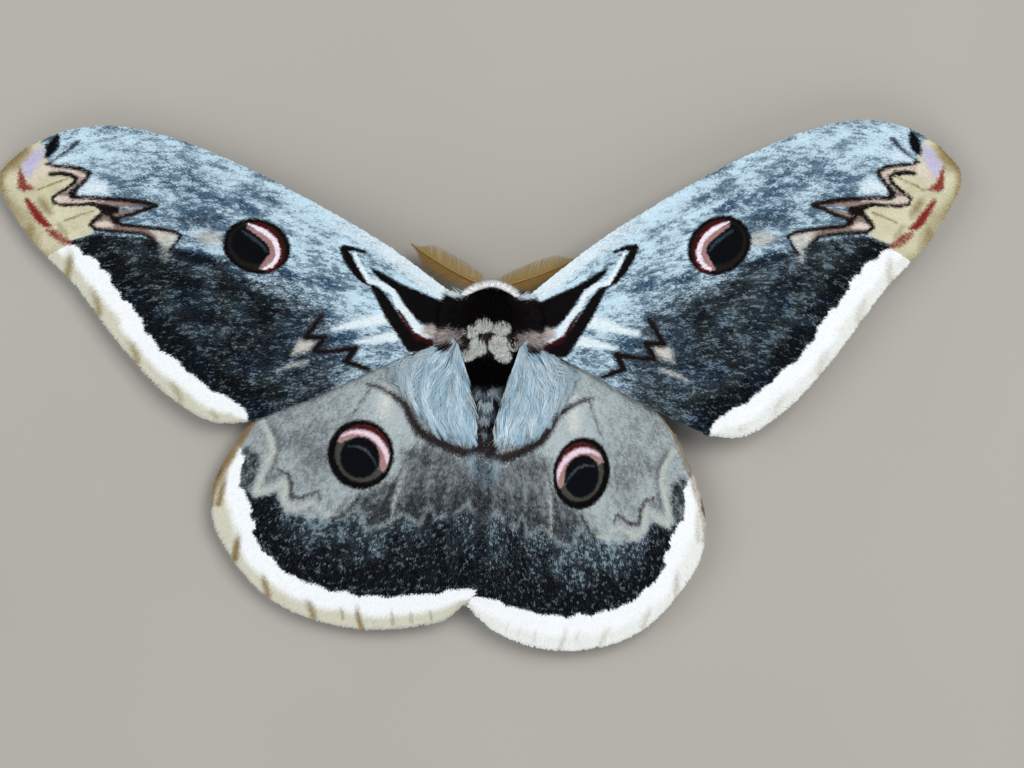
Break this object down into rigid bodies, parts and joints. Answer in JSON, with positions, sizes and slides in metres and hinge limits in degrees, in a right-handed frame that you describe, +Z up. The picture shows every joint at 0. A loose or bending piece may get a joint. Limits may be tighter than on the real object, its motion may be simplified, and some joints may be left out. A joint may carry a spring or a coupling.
{
  "type": "giant peacock moth",
  "caption": "Large grey moth at rest with spread wings that carry eye spots and pale margins, feathered antennae and a furry body, standing on its feet.",
  "frame": {"origin": "middle of the base of the moth's box, on the floor under its feet", "axes": "+Y towards the head, +X to the moth's right wings, +Z up"},
  "size_m": [0.1448, 0.0814, 0.0126],
  "materials": {
    "thorax_fur": "dark brown velvet fur",
    "abdomen_fur": "soft grey-brown fur in rings",
    "forewing_scales": "matt powdery scales",
    "hindwing_scales": "matt powdery scales with long pale hair at the base",
    "antennae": "golden-brown horn",
    "eyes": "glossy black",
    "leg_fur": "brown woolly fur"
  },
  "bodies": {
    "root": {"thorax": "thorax_fur", "head": "thorax_fur", "abdomen": "abdomen_fur", "eye_left": "eyes", "eye_right": "eyes", "antenna_left": "antennae", "antenna_right": "antennae", "forewing_left": "forewing_scales", "forewing_right": "forewing_scales", "hindwing_left": "hindwing_scales", "hindwing_right": "hindwing_scales", "leg_front_left": "leg_fur", "leg_front_right": "leg_fur", "leg_middle_left": "leg_fur", "leg_middle_right": "leg_fur", "leg_hind_left": "leg_fur", "leg_hind_right": "leg_fur"}
  },
  "joints": []
}
